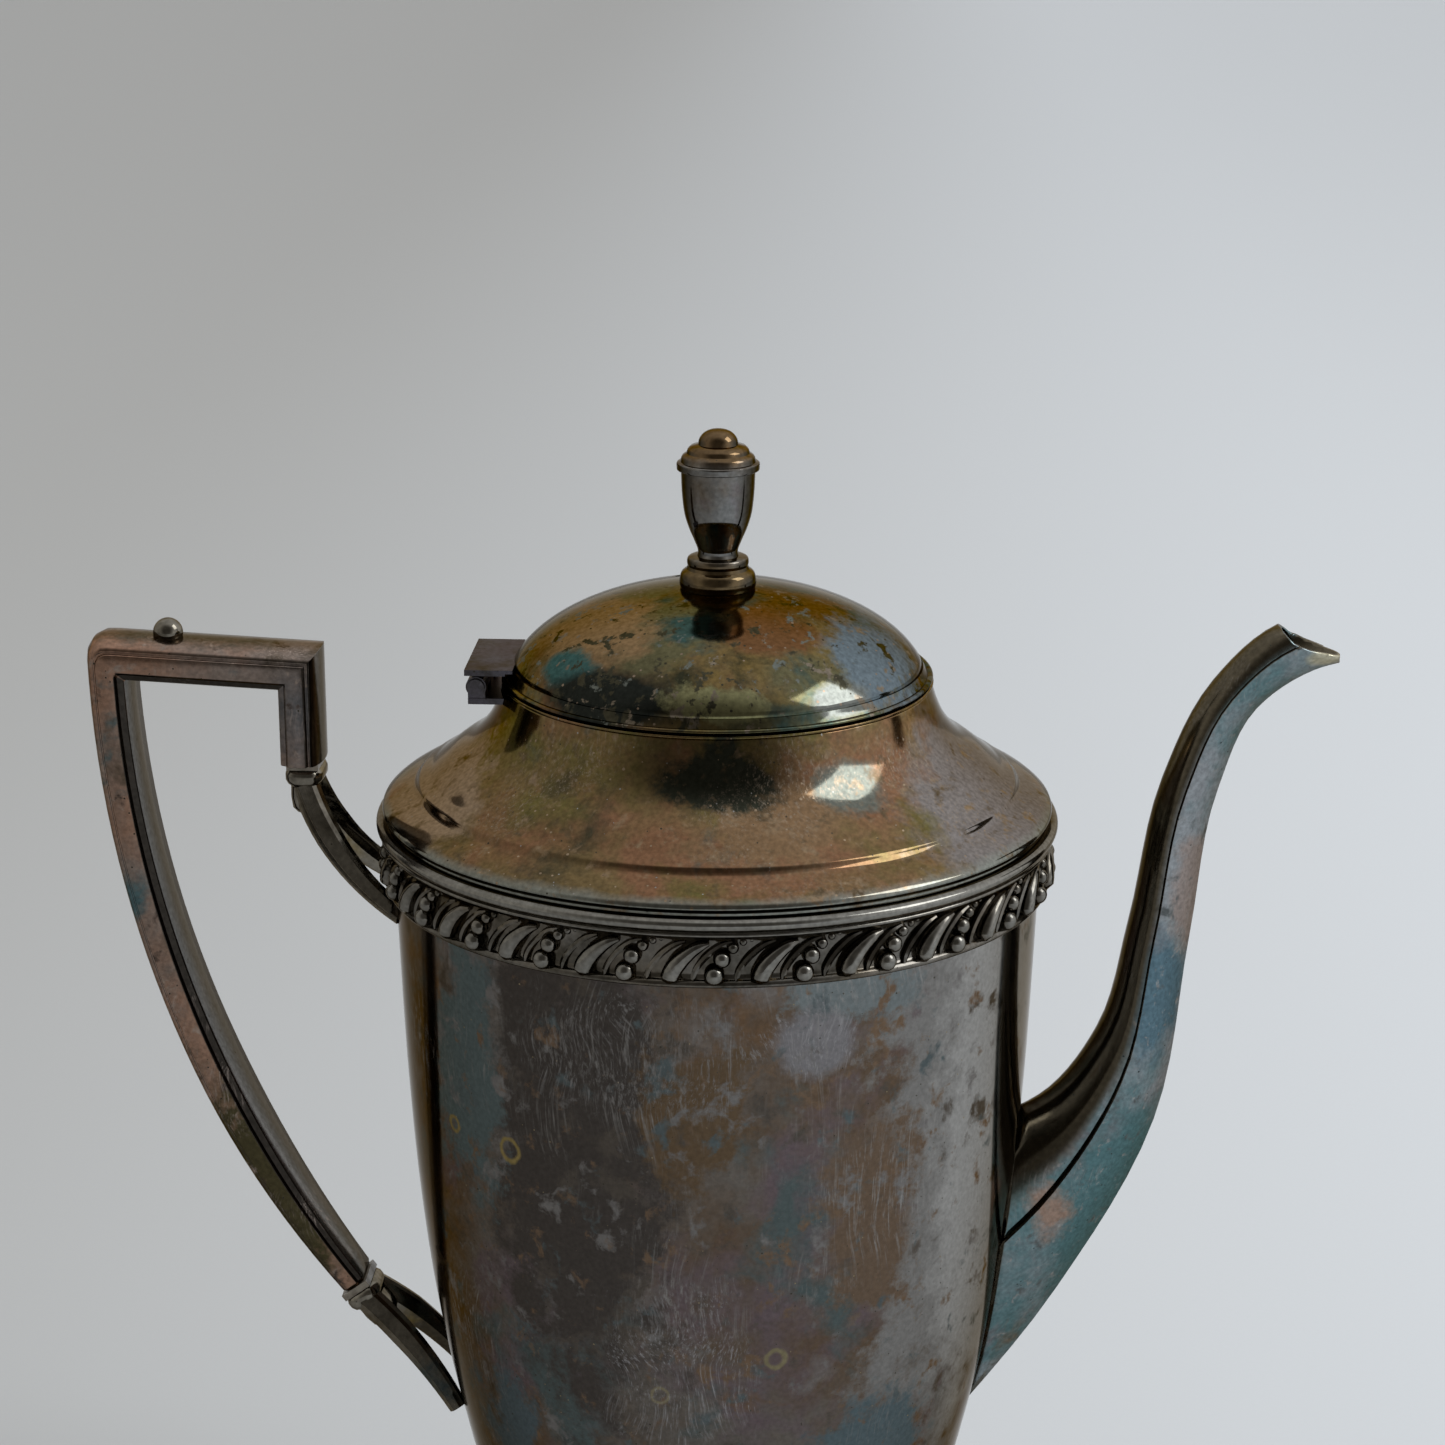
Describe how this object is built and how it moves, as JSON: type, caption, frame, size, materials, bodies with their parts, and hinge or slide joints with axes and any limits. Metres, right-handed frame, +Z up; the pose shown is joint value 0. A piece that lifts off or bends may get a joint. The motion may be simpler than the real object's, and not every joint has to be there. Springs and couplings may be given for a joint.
{
  "type": "coffee pot",
  "caption": "Tall footed metal coffee pot with a hinged domed lid, urn finial, keeled swan spout, angular forked handle and a gadrooned band at the shoulder.",
  "frame": {"origin": "on the table under the middle of the part's outline, about a millimetre from the pot's turned axis", "axes": "+Z up along the pot's turned axis, +X toward the spout, -X toward the handle, Y along the lid's hinge"},
  "size_m": [0.2085, 0.1144, 0.2465],
  "materials": {
    "body_silver": "polished silver plate, tarnished",
    "shoulder_silver": "polished silver plate, warm tarnish",
    "border_silver": "chased silver plate, dark in the hollows",
    "spout_silver": "polished silver plate, bluish tarnish",
    "handle_silver": "worn silver plate, coppery",
    "fork_silver": "cast silver plate",
    "lid_silver": "polished silver plate, olive tarnish",
    "finial_silver": "turned silver plate, dark",
    "hinge_silver": "silver plate",
    "foot_silver": "polished silver plate",
    "insulator": "bone coloured washer",
    "brass_fixing": "plain turned brass"
  },
  "bodies": {
    "pot": {"body_shell": "body_silver", "shoulder_shell": "shoulder_silver", "gadroon_border": "border_silver", "neck_rim_wire": "shoulder_silver", "spout": "spout_silver", "handle_grip": "handle_silver", "thumb_bead": "handle_silver", "upper_fork": "fork_silver", "lower_fork": "fork_silver", "upper_insulator": "insulator", "lower_insulator": "insulator", "upper_stud": "brass_fixing", "lower_stud": "brass_fixing", "hinge_bracket": "hinge_silver", "hinge_pin": "hinge_silver", "stem_knop": "foot_silver", "foot": "foot_silver", "foot_rim": "foot_silver"},
    "lid": {"lid_dome": "lid_silver", "lid_rim": "lid_silver", "lid_bezel": "lid_silver", "lid_hinge_leaf": "hinge_silver", "finial": "finial_silver", "finial_collar": "finial_silver", "finial_stud": "brass_fixing", "finial_washer": "brass_fixing", "finial_nut": "brass_fixing"}
  },
  "joints": [
    {"name": "lid_hinge", "type": "hinge", "parent": "pot", "child": "lid", "pos_m": [-0.0392, 0, 0.205], "axis": [0, -1, 0], "range_deg": [0, 95]}
  ]
}
